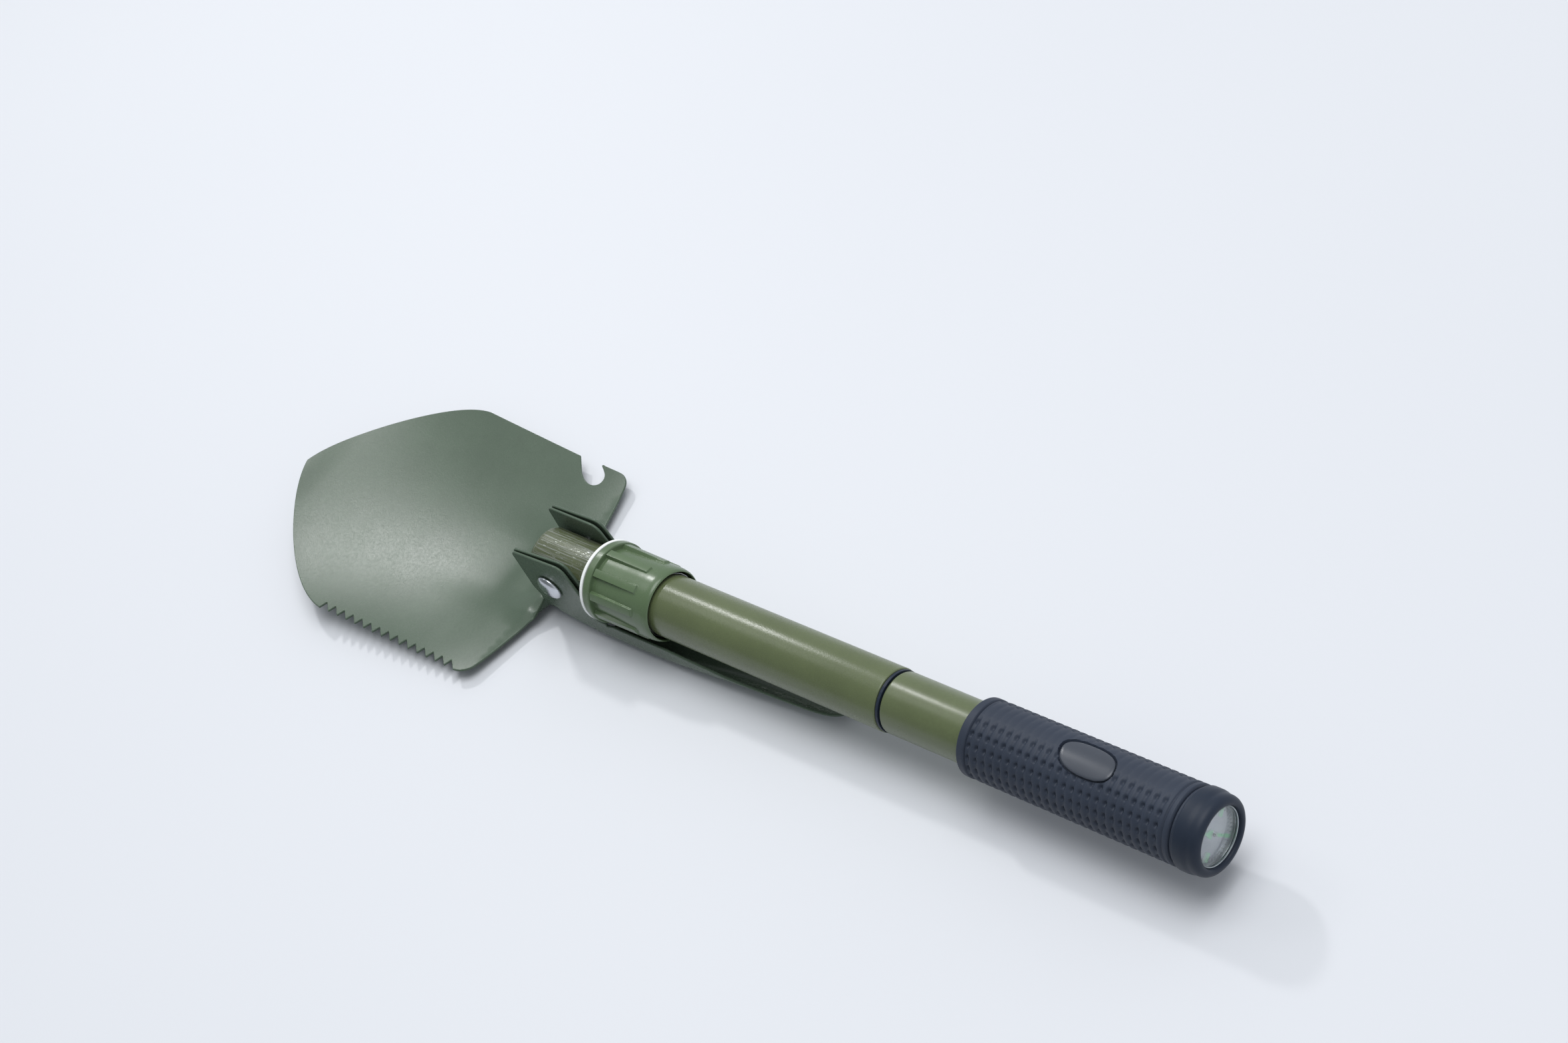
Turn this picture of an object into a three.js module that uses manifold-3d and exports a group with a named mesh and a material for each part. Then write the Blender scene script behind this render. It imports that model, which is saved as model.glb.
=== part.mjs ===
// Folding camp shovel with a pick, a screw collar, a two-part handle and a compass cap.
// Millimetres, +Z up. The handle lies along X, the blade points to -X and its teeth face -Y.
import * as THREE from 'three';
import { mergeVertices } from 'three/addons/utils/BufferGeometryUtils.js';
import Module from 'manifold-3d';

// Where the middle of the collar's front face stands in the finished frame, whose origin is
// under the middle of the shovel
const OFFSET = { x: -44.25, y: 0, z: 22.4 };

// Hinge: one rivet carries the blade and the pick
const PIVOT = { x: -19, z: 1 };
const SHEET = 1.1;
const GAP = 0.3;
const RIVET = { shank: 2.5, hole: 2.9, head: 5.2, dome: 2.4, under: 12.1 };

// Blade: half width at its widest and at the shoulders, and where those stand along the handle
const BLADE = { tip: -173.5, wide: -117.7, wideHalf: 50.8, back: -42.2, backHalf: 48.4 };
const BLADE_FLOOR = -17;
const DISH = 6;
const NECK = { half: 9.8, front: -34.4, rear: -12 };
const TOOTH = { pitch: 4.65, count: 15, depth: 3.2, back: 0.85 };

// Pick: a tapering channel that is stowed under the handle
const PICK = { half: 11.8, tipHalf: 9.6, floor: -22.4, tipFloor: -20.6, tip: 105.5, corner: 5.5 };

// Handle pieces along X
const TUBE1 = { r: 11, bore: 9.6, x0: 2, x1: 133 };
const TUBE2 = { r: 10.6, bore: 9.2, x0: 134.6, x1: 250 };
const COLLAR = { flange: 14.65, rib: 14.15, body: 13.05, bore: 12.3, x0: 1.5, x1: 31.5 };
const COLLAR_RIBS = 10;
const GRIP = { r: 13.2, groove: 12.75, bore: 10.95, x0: 168.5, x1: 250, pitch: 3.12 };
const BADGE = { x: 214.3, long: 10.8, wide: 6.6 };
const CAP = { r: 13.5, x0: 251.4, x1: 262, well: 10.8 };
const DIAL_R = 8.2;

const SEG = 36;
const wasm = await Module();
wasm.setup();
const { Manifold, Mesh } = wasm;

const COLOURS = {
  oliveBlade: { color: 0x67715c, roughness: 0.5, metalness: 0.35 },
  oliveTube: { color: 0x646e4c, roughness: 0.42, metalness: 0.3 },
  greenPlastic: { color: 0x566b4d, roughness: 0.38, metalness: 0 },
  chrome: { color: 0xd8dbe0, roughness: 0.16, metalness: 1 },
  steel: { color: 0x9a9c9d, roughness: 0.4, metalness: 0.9 },
  whiteNylon: { color: 0xeceee9, roughness: 0.45, metalness: 0 },
  rubber: { color: 0x2b2f35, roughness: 0.72, metalness: 0 },
  blackPlastic: { color: 0x191b1e, roughness: 0.35, metalness: 0 },
  silver: { color: 0xb9c2c0, roughness: 0.35, metalness: 0.55 },
  luminous: { color: 0x8fc79a, roughness: 0.5, metalness: 0 },
  clear: { color: 0xdfe8e8, roughness: 0.06, metalness: 0 },
};

// Closed three.js geometry to a solid for cutting and joining, and back again
function solid(geometry) {
  const g = geometry.index ? geometry.toNonIndexed() : geometry.clone();
  for (const key of Object.keys(g.attributes)) if (key !== 'position') g.deleteAttribute(key);
  const m = mergeVertices(g, 1e-4);
  const tris = [];
  const idx = m.index.array;
  for (let i = 0; i < idx.length; i += 3) {
    const [a, b, c] = [idx[i], idx[i + 1], idx[i + 2]];
    if (a !== b && b !== c && a !== c) tris.push(a, b, c);
  }
  const made = new Manifold(new Mesh({
    numProp: 3,
    vertProperties: new Float32Array(m.attributes.position.array),
    triVerts: new Uint32Array(tris),
  }));
  return made.volume() < 0 ? Manifold.ofMesh(made.getMesh()) : made;
}

function geometryOf(body) {
  const mesh = body.getMesh();
  const g = new THREE.BufferGeometry();
  g.setAttribute('position', new THREE.BufferAttribute(new Float32Array(mesh.vertProperties), 3));
  g.setIndex(new THREE.BufferAttribute(new Uint32Array(mesh.triVerts), 1));
  g.computeVertexNormals();
  return g;
}

// Polygon corners given as [u, v, radius], each rounded with a short arc
function rounded(corners, steps = 5) {
  const out = [];
  const n = corners.length;
  for (let i = 0; i < n; i += 1) {
    const p = new THREE.Vector2(...corners[i]);
    const r = corners[i][2] || 0;
    if (!r) { out.push(p); continue; }
    const a = new THREE.Vector2(...corners[(i + n - 1) % n]).sub(p);
    const b = new THREE.Vector2(...corners[(i + 1) % n]).sub(p);
    const half = Math.acos(a.dot(b) / (a.length() * b.length())) / 2;
    const cut = Math.min(r / Math.tan(half), a.length() * 0.48, b.length() * 0.48);
    const p0 = p.clone().add(a.setLength(cut));
    const p2 = p.clone().add(b.setLength(cut));
    const curve = new THREE.QuadraticBezierCurve(p0, p, p2);
    out.push(...curve.getPoints(steps));
  }
  return out;
}

// Prism of a polygon in XY, XZ or YZ, from one level to the next along the third axis
function prism(points, plane, from, to) {
  const g = new THREE.ExtrudeGeometry(new THREE.Shape(points), {
    depth: to - from, bevelEnabled: false,
  });
  g.translate(0, 0, from);
  const swap = {
    xy: [1, 0, 0, 0, 0, 1, 0, 0, 0, 0, 1, 0],
    xz: [1, 0, 0, 0, 0, 0, -1, 0, 0, 1, 0, 0],
    yz: [0, 0, 1, 0, 1, 0, 0, 0, 0, 1, 0, 0],
  }[plane];
  g.applyMatrix4(new THREE.Matrix4().set(...swap, 0, 0, 0, 1));
  return g;
}

// Solid or ring turned about X from [x, radius] pairs
function turned(profile, seg = SEG) {
  const pts = profile.map(([x, r]) => new THREE.Vector2(r, x));
  const g = new THREE.LatheGeometry(pts, seg);
  g.rotateZ(-Math.PI / 2);
  return g;
}

function ring(x0, x1, rIn, rOut, edge = 0, seg = SEG) {
  const e = edge;
  const outer = e ? [[x0, rOut - e], [x0 + e * 0.3, rOut - e * 0.3], [x0 + e, rOut],
    [x1 - e, rOut], [x1 - e * 0.3, rOut - e * 0.3], [x1, rOut - e]] : [[x0, rOut], [x1, rOut]];
  return turned([[x0, rIn], ...outer, [x1, rIn], [x0, rIn]], seg);
}

function rod(x0, x1, r, seg = SEG) {
  return turned([[x0, 0], [x0, r], [x1, r], [x1, 0]], seg);
}

// Skin through a row of closed outlines that all have the same number of points
function loft(outlines) {
  const n = outlines[0].length;
  const pos = outlines.flat().flatMap((p) => [p.x, p.y, p.z]);
  const idx = [];
  for (let s = 0; s + 1 < outlines.length; s += 1) {
    for (let i = 0; i < n; i += 1) {
      const a = s * n + i;
      const b = s * n + ((i + 1) % n);
      idx.push(a, b, a + n, b, b + n, a + n);
    }
  }
  const flat = outlines[0].map((p) => new THREE.Vector2(p.y, p.z));
  const end = (outlines.length - 1) * n;
  for (const [a, b, c] of THREE.ShapeUtils.triangulateShape(flat, [])) {
    idx.push(c, b, a, a + end, b + end, c + end);
  }
  const g = new THREE.BufferGeometry();
  g.setAttribute('position', new THREE.Float32BufferAttribute(pos, 3));
  g.setIndex(idx);
  return g;
}

// Channel section open at the top: outer half width, outer floor height, corner radius
function channel(x, half, floor, corner, top, t = SHEET) {
  const inner = Math.max(corner - t, 0.6);
  const line = rounded([
    [-half, top], [-half, floor, corner], [half, floor, corner], [half, top],
    [half - t, top], [half - t, floor + t, inner], [t - half, floor + t, inner], [t - half, top],
  ], 4);
  return line.map((p) => new THREE.Vector3(x, p.x, p.y));
}

const group = new THREE.Group();
group.name = 'camp_shovel';
group.position.set(OFFSET.x, OFFSET.y, OFFSET.z);

function add(name, geometry, look) {
  const mesh = new THREE.Mesh(geometry, new THREE.MeshStandardMaterial(COLOURS[look]));
  mesh.name = name;
  mesh.material.name = name;
  group.add(mesh);
  return mesh;
}

// Ear outline shared by the blade and the pick, seen from the side
const EAR_FRONT = [-31.3, 14.2, 1.2];
const EAR_REAR = [-5.8, 15.8, 4.6];
const holeAcross = solid(rodAcross(RIVET.hole, -20, 20));

function rodAcross(r, y0, y1) {
  const g = new THREE.CylinderGeometry(r, r, y1 - y0, 24);
  g.translate(PIVOT.x, (y0 + y1) / 2, PIVOT.z);
  return g;
}

// Height of the blade's upper face: it rises towards the tip and is dished between its edges
function bladeTop(x, y) {
  const u = Math.max(0, -x - 40);
  const rim = BLADE_FLOOR + 0.055 * u + 0.00016 * u * u;
  const run = THREE.MathUtils.clamp((NECK.front - 2 - x) / (NECK.front - 2 - BLADE.tip), 0, 1);
  const across = Math.max(0, 1 - (y / BLADE.wideHalf) ** 2);
  return rim - DISH * Math.sin(Math.PI * run ** 0.85) ** 1.2 * across;
}

function bladeOutline() {
  const edge = (x) => THREE.MathUtils.mapLinear(x, BLADE.wide, BLADE.back, BLADE.wideHalf,
    BLADE.backHalf);
  const nose = (side) => new THREE.CubicBezierCurve(
    new THREE.Vector2(BLADE.wide, side * BLADE.wideHalf),
    new THREE.Vector2(BLADE.wide - 20.3, side * (BLADE.wideHalf - 1.8)),
    new THREE.Vector2(BLADE.tip + 5.5, side * 20),
    new THREE.Vector2(BLADE.tip, 0),
  ).getPoints(16);
  const teeth = [];
  for (let i = 0; i < TOOTH.count; i += 1) {
    const x = BLADE.wide + i * TOOTH.pitch;
    teeth.push([x, -edge(x)], [x + TOOTH.back, TOOTH.depth - edge(x)]);
  }
  const lastTooth = BLADE.wide + TOOTH.count * TOOTH.pitch;
  const back = (side) => [
    [BLADE.back, side * BLADE.backHalf, 6], [-34.9, side * 16, 5],
    [NECK.front, side * NECK.half, 0.8],
  ];
  const farSide = [
    [-68.2, edge(-68.2), 0.8], [-63.6, 41, 3.4], [-52.4, 39.8, 3.2], [-52.6, 44.9, 1.2],
    [-57.2, 48.9, 0.4],
  ];
  return [
    ...nose(-1).reverse(),
    ...rounded([...teeth.slice(1), [lastTooth, -edge(lastTooth)], ...back(-1), [-20, -NECK.half],
      [-20, NECK.half], ...back(1).reverse(), ...farSide.reverse(),
      [BLADE.wide, BLADE.wideHalf]], 4).slice(0, -1),
    ...nose(1).slice(0, -1),
  ];
}

function blade() {
  const [nx, ny] = [26, 16];
  const xs = Array.from({ length: nx + 1 }, (_, i) => THREE.MathUtils.lerp(-178, -24, i / nx));
  const ys = Array.from({ length: ny + 1 }, (_, i) => THREE.MathUtils.lerp(-55, 55, i / ny));
  const skins = xs.map((x) => [
    ...ys.map((y) => new THREE.Vector3(x, y, bladeTop(x, y) - SHEET)),
    ...[...ys].reverse().map((y) => new THREE.Vector3(x, y, bladeTop(x, y))),
  ]);
  const plate = solid(loft(skins)).intersect(solid(prism(bladeOutline(), 'xy', -60, 30)));
  const floor = BLADE_FLOOR - SHEET;
  const trough = solid(loft([-41, -2].map((x) => channel(x, NECK.half, floor, 3, 18))));
  const side = rounded([
    EAR_FRONT, EAR_REAR, [-2.9, 3, 2], [-4.6, -9, 3], [NECK.rear, floor - 1], [-40, floor - 1],
    [-39.5, BLADE_FLOOR + 0.6, 2], [-36.6, -11, 6], [-33.4, 3, 3],
  ]);
  const ears = trough.intersect(solid(prism(side, 'xz', -12, 12)));
  return plate.add(ears).subtract(holeAcross);
}

function pick() {
  const stations = [-36, 8, 30, 55, 80, 96, 112];
  const skins = stations.map((x) => {
    const k = THREE.MathUtils.clamp((x - 8) / (PICK.tip - 8), 0, 1);
    const half = THREE.MathUtils.lerp(PICK.half, PICK.tipHalf, k ** 1.3);
    const floor = THREE.MathUtils.lerp(PICK.floor, PICK.tipFloor, k);
    return channel(x, half, floor, PICK.corner, 20);
  });
  const side = rounded([
    EAR_FRONT, EAR_REAR, [-3.4, 2.5, 2], [-2.2, -10.7, 1.5], [30, -10.8, 9], [84, -15.8, 9],
    [112, -17.2], [112, -32], [-8, -32], [-8, -19.2, 1], [-17, -18.9, 3], [-23, -16.2, 3],
    [-29.6, -11, 4], [-31.8, -4.5, 4],
  ]);
  const nose = new THREE.EllipseCurve(PICK.tip - 24, 0, 24, 10.4, -Math.PI / 2, Math.PI / 2)
    .getPoints(16);
  const plan = [new THREE.Vector2(-60, -15), new THREE.Vector2(PICK.tip - 24.1, -15), ...nose,
    new THREE.Vector2(PICK.tip - 24.1, 15), new THREE.Vector2(-60, 15)];
  return solid(loft(skins))
    .intersect(solid(prism(side, 'xz', -14, 14)))
    .intersect(solid(prism(plan, 'xy', -40, 30)))
    .subtract(holeAcross);
}

// Solid end of the handle that the ears turn on: round above and below, flat at the sides
function hingeCore() {
  const arc = (from, to) => new THREE.EllipseCurve(0, 0, TUBE1.r, TUBE1.r, from, to).getPoints(8);
  const a = Math.acos(5.6 / TUBE1.r);
  const section = [
    ...arc(a, Math.PI - a), new THREE.Vector2(-8.2, 6.6), new THREE.Vector2(-8.2, -6.6),
    ...arc(Math.PI + a, 2 * Math.PI - a), new THREE.Vector2(8.2, -6.6), new THREE.Vector2(8.2, 6.6),
  ];
  const side = rounded([
    [-30.8, -8.6, 1], [-30.8, 8.6, 1], [-28.8, 10.8, 1], [-26.5, 11.5], [1.7, 11.5],
    [1.7, -11.5], [-26.5, -11.5], [-28.8, -10.8, 1],
  ]);
  const bar = solid(prism(section, 'yz', -32, 1.7)).intersect(solid(prism(side, 'xz', -12, 12)));
  return bar.add(solid(rod(1.2, 26, TUBE1.bore - GAP))).subtract(holeAcross);
}

function rivet() {
  const head = (s) => [0, 1, 2, 3, 4].map((i) => {
    const t = (i / 4) * Math.PI * 0.5;
    return new THREE.Vector2(RIVET.head * Math.sin(t) + 0.0, s * (RIVET.under + 0.3
      + (RIVET.dome - 0.3) * Math.cos(t)));
  });
  const pts = [
    ...head(-1), new THREE.Vector2(RIVET.head, -RIVET.under),
    new THREE.Vector2(RIVET.shank, -RIVET.under), new THREE.Vector2(RIVET.shank, RIVET.under),
    new THREE.Vector2(RIVET.head, RIVET.under), ...head(1).reverse(),
  ];
  const g = new THREE.LatheGeometry(pts, 28);
  g.translate(PIVOT.x, 0, PIVOT.z);
  return g;
}

function lockCollar() {
  const c = COLLAR;
  const body = solid(turned([
    [c.x0, c.bore], [c.x0, c.flange - 0.5], [c.x0 + 0.5, c.flange], [c.x0 + 2.6, c.flange],
    [c.x0 + 3.1, c.flange - 0.5], [c.x0 + 3.1, c.body], [c.x1 - 7, c.body + 0.25],
    [c.x1 - 2, c.body], [c.x1 - 0.8, c.body - 0.15], [c.x1, c.body - 0.7], [c.x1, c.bore + 0.3],
    [c.x1 - 0.6, c.bore], [c.x0, c.bore],
  ], 40));
  const ribProfile = rounded([
    [c.x0 + 2.9, c.body - 0.3], [24.2, c.body - 0.3], [24.9, c.rib - 0.2, 0.8],
    [c.x0 + 2.9, c.rib],
  ]);
  return Array.from({ length: COLLAR_RIBS }, (_, i) => (
    solid(prism(ribProfile, 'xz', -1.45, 1.45).rotateX((i * 2 * Math.PI) / COLLAR_RIBS - 0.2094))
  )).reduce((all, rib) => all.add(rib), body);
}

// Rings of ridges that stand for a screw thread, on the outside of a sleeve or rod
function threaded(x0, x1, rIn, root, crest, pitch) {
  const line = [[x0, rIn], [x0, root]];
  for (let x = x0 + pitch / 2; x + pitch / 2 < x1; x += pitch) {
    line.push([x, root], [x + pitch / 2, crest]);
  }
  line.push([x1, root], [x1, rIn]);
  if (rIn > 0) line.push([x0, rIn]);
  return turned(line, 24);
}

function badgeOutline(grow) {
  return new THREE.EllipseCurve(BADGE.x, 0, BADGE.long + grow, BADGE.wide + grow, 0, 2 * Math.PI)
    .getPoints(32).slice(0, -1);
}

function grip() {
  const g = GRIP;
  const line = [[g.x0, g.bore], [g.x0, g.r - 0.5], [g.x0 + 0.5, g.r], [g.x0 + 3, g.r],
    [g.x0 + 3.4, g.groove], [g.x0 + 4.3, g.groove]];
  let x = g.x0 + 4.3;
  while (x + g.pitch < g.x1 - 4.4) {
    line.push([x + 0.35, g.r], [x + g.pitch - 0.7, g.r], [x + g.pitch - 0.35, g.groove]);
    x += g.pitch;
  }
  line.push([g.x1 - 3.3, g.groove], [g.x1 - 2.9, g.r], [g.x1 - 0.6, g.r], [g.x1, g.r - 0.6],
    [g.x1, g.bore], [g.x0, g.bore]);
  const sleeve = solid(turned(line, 30));
  const pocket = solid(prism(badgeOutline(0.4), 'xy', 5, 20)).subtract(solid(rod(190, 240, 12.2)));
  return sleeve.subtract(pocket);
}

function badge() {
  const shell = solid(ring(198, 231, 12.5, 13.35, 0, 72));
  return solid(prism(badgeOutline(0), 'xy', 5, 20)).intersect(shell);
}

function capHousing() {
  const c = CAP;
  return turned([
    [241, 0], [241, 6.6], [c.x0, 6.6], [c.x0, c.r - 0.7], [c.x0 + 0.7, c.r],
    [c.x1 - 2.6, c.r], [c.x1 - 1.3, c.r - 0.35], [c.x1 - 0.4, c.r - 1.2], [c.x1, c.r - 2.3],
    [c.x1, c.well], [254.4, c.well], [254.4, 0],
  ]);
}

// Handle
add('hinge_core', geometryOf(hingeCore()), 'oliveTube');
add('pivot_rivet', rivet(), 'chrome');
add('front_tube', ring(TUBE1.x0, TUBE1.x1, TUBE1.bore, TUBE1.r, 0.3), 'oliveTube');
add('collar_thread', threaded(6, 30, TUBE1.r + GAP, 11.5, 11.9, 4), 'steel');
add('joint_socket', ring(108, 132.6, 8.5, TUBE1.bore - GAP, 0, 32), 'steel');

// Blade and pick
add('blade', geometryOf(blade()), 'oliveBlade');
add('pick', geometryOf(pick()), 'oliveBlade');

// Screw collar
add('collar_washer', ring(0, 1.2, 12.15, 14.6, 0.3), 'whiteNylon');
add('lock_collar', geometryOf(lockCollar()), 'greenPlastic');

// Rear handle section
add('joint_washer', ring(133.3, 134.3, 8.6, 10.7, 0, 32), 'blackPlastic');
add('rear_tube', ring(TUBE2.x0, TUBE2.x1, TUBE2.bore, TUBE2.r, 0.9), 'oliveTube');
add('joint_screw', threaded(112, 133, 0, 7.6, 8.1, 3.5), 'steel');
add('joint_plug', ring(135.2, 156, 0.001, TUBE2.bore - GAP, 0, 28), 'steel');
add('grip', geometryOf(grip()), 'rubber');
add('grip_badge', geometryOf(badge()), 'blackPlastic');
add('end_bush', ring(232, 250.6, 6.95, TUBE2.bore - GAP, 0, 32), 'steel');

// Compass cap
add('cap_seal', ring(250.4, 251.1, 9.4, 12.5, 0, 40), 'rubber');
add('cap_housing', capHousing(), 'blackPlastic');
add('compass_case', turned([[254.7, 0], [254.7, 10.4], [259, 10.4], [259, 9.3], [255.4, 9.3],
  [255.4, 0]], 40), 'silver');
add('compass_pivot', turned([[255.7, 0], [255.7, 1.3], [256.1, 1.3], [256.3, 0.35], [257.5, 0.35],
  [257.8, 0]], 16), 'steel');
add('compass_dial', ring(256.6, 257.1, 0.75, DIAL_R, 0, 40), 'luminous');
add('compass_lens', rod(259.3, 260.4, 10.1, 40), 'clear');
add('compass_bezel', turned([[260.7, 9.5], [260.7, 10.5], [261.5, 10.5], [261.8, 10.1],
  [261.5, 9.5], [260.7, 9.5]], 40), 'silver');

export default group;
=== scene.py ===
import math

import bmesh
import bpy
import numpy as np
from mathutils import Matrix, Vector
from mathutils.geometry import delaunay_2d_cdt


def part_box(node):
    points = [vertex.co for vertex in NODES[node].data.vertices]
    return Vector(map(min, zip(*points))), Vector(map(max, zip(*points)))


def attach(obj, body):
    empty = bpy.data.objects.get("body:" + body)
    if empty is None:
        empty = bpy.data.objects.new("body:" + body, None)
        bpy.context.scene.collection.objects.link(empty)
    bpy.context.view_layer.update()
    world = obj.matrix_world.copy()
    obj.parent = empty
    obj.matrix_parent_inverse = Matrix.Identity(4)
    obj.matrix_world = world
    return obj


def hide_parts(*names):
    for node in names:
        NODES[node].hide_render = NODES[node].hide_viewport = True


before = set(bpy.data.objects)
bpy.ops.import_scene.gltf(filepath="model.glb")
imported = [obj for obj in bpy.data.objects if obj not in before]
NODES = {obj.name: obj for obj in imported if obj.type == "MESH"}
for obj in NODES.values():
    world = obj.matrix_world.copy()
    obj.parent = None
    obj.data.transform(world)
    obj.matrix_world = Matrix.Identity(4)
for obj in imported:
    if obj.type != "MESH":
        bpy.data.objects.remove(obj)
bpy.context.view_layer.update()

MM = 0.001

# All sizes below are in mm from the collar's front face (x) and the handle's axis (y, z)
TUBE_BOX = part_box("front_tube")
AXIS_Z = (TUBE_BOX[0][2] + TUBE_BOX[1][2]) / 2
FRONT_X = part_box("collar_washer")[0][0]
RIVET_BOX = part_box("pivot_rivet")
PIVOT = (
    ((RIVET_BOX[0][0] + RIVET_BOX[1][0]) / 2 - FRONT_X) / MM,
    ((RIVET_BOX[0][2] + RIVET_BOX[1][2]) / 2 - AXIS_Z) / MM,
)


def place(points):
    """Points in mm from the collar's front and the handle's axis, to metres in the model's frame."""
    p = np.asarray(points, float) * MM
    return p + np.array([FRONT_X, 0.0, AXIS_Z])


def at(x, y, z):
    """One such point as a vector in metres."""
    return Vector(place([(x, y, z)])[0])


# ---------------------------------------------------------------- mesh makers

MERGE = 1e-7         # vertices closer than this become one, m
ROW_RISE = 0.87      # rows of a triangular grid stand this share of a step apart
EDGE_CLEAR = 0.6     # grid points keep this share of a step away from the outline
SHORT_SIDE = 0.02    # shorter sides of an outline are dropped, mm
SHARPEST = 0.62      # limits how far a sharp corner is carried out, as a cosine
PROBE = 0.3          # length of the steps that find which way a surface runs, mm


def new_mesh(name, verts, faces, mat, sharp=40.0):
    """A mesh object with outward faces, smooth but for edges sharper than the given angle."""
    me = bpy.data.meshes.new(name)
    me.from_pydata([tuple(v) for v in verts], [], [tuple(int(i) for i in f) for f in faces])
    me.validate()
    bm = bmesh.new()
    bm.from_mesh(me)
    bmesh.ops.remove_doubles(bm, verts=bm.verts, dist=MERGE)
    bmesh.ops.recalc_face_normals(bm, faces=bm.faces)
    bm.to_mesh(me)
    bm.free()
    me.shade_smooth()
    me.set_sharp_from_angle(angle=math.radians(sharp))
    ob = bpy.data.objects.new(name, me)
    bpy.context.scene.collection.objects.link(ob)
    me.materials.append(mat)
    return ob


def lathe(name, profile, mat, seg=128, sharp=40.0):
    """Turned about the handle's axis from (x, radius) pairs. Closed if the last repeats the first."""
    closed = profile[0] == profile[-1]
    pts = profile[:-1] if closed else profile
    th = np.linspace(0, 2 * math.pi, seg, endpoint=False)
    verts = []
    for x, r in pts:
        verts.append(np.stack([np.full(seg, x), r * np.cos(th), r * np.sin(th)], 1))
    verts = place(np.concatenate(verts))
    faces = []
    n = len(pts)
    for i in range(n if closed else n - 1):
        a, b = i * seg, ((i + 1) % n) * seg
        for k in range(seg):
            m = (k + 1) % seg
            faces.append((a + k, a + m, b + m, b + k))
    return new_mesh(name, verts, faces, mat, sharp)


def round_edge(x, r, dx, dr, steps=4):
    """Quarter round from (x, r + dr) to (x + dx, r), as (x, radius) pairs."""
    out = []
    for i in range(steps + 1):
        a = math.pi / 2 * i / steps
        out.append((x + dx * (1 - math.cos(a)), r + dr * (1 - math.sin(a))))
    return out


def polar(name, xs, count, radius, inner, mat, sharp=50.0):
    """A sleeve whose outer radius is a function of place along and angle round the axis, and whose
    inside is given as (x, radius) pairs from its rear end to its front end."""
    th = np.linspace(0, 2 * math.pi, count, endpoint=False)
    X, T = np.meshgrid(xs, th, indexing="ij")
    R = radius(X, T)
    outer = np.stack([X, R * np.cos(T), R * np.sin(T)], -1).reshape(-1, 3)
    ins = []
    for x, r in inner:
        ins.append(np.stack([np.full(count, x), r * np.cos(th), r * np.sin(th)], 1))
    verts = place(np.concatenate([outer] + ins))
    rings = len(xs) + len(inner)
    idx = np.arange(rings * count).reshape(rings, count)
    a = idx
    b = np.roll(idx, -1, axis=0)
    a2 = np.roll(a, -1, axis=1)
    b2 = np.roll(b, -1, axis=1)
    faces = np.stack([a, a2, b2, b], -1).reshape(-1, 4)
    return new_mesh(name, verts, faces, mat, sharp)


def inside(poly, pts):
    """Which points are inside the polygon."""
    x, y = pts[:, 0], pts[:, 1]
    hit = np.zeros(len(pts), bool)
    n = len(poly)
    for i in range(n):
        x0, y0 = poly[i]
        x1, y1 = poly[(i + 1) % n]
        if y0 == y1:
            continue
        cross = (y0 > y) != (y1 > y)
        hit ^= cross & (x < (x1 - x0) * (y - y0) / (y1 - y0) + x0)
    return hit


def gap_to(poly, pts):
    """How far each point is from the polygon's sides."""
    best = np.full(len(pts), 1e9)
    n = len(poly)
    for i in range(n):
        a, b = poly[i], poly[(i + 1) % n]
        ab = b - a
        t = np.clip(((pts - a) @ ab) / max(ab @ ab, 1e-12), 0, 1)
        best = np.minimum(best, np.linalg.norm(pts - (a + t[:, None] * ab), axis=1))
    return best


def resample(poly, step):
    """Splits long sides so that no side is much longer than step."""
    out = []
    n = len(poly)
    for i in range(n):
        a, b = np.asarray(poly[i], float), np.asarray(poly[(i + 1) % n], float)
        k = max(1, int(round(np.linalg.norm(b - a) / step)))
        for j in range(k):
            out.append(a + (b - a) * j / k)
    return np.array(out)


def hex_points(lo, hi, step):
    """A triangular grid of points that fills a rectangle."""
    rows = []
    v = lo[1] + step * 0.4
    odd = False
    while v < hi[1]:
        u = np.arange(lo[0] + (0.25 if odd else 0.75) * step, hi[0], step)
        rows.append(np.stack([u, np.full(len(u), v)], 1))
        v += step * ROW_RISE
        odd = not odd
    return np.concatenate(rows)


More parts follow.
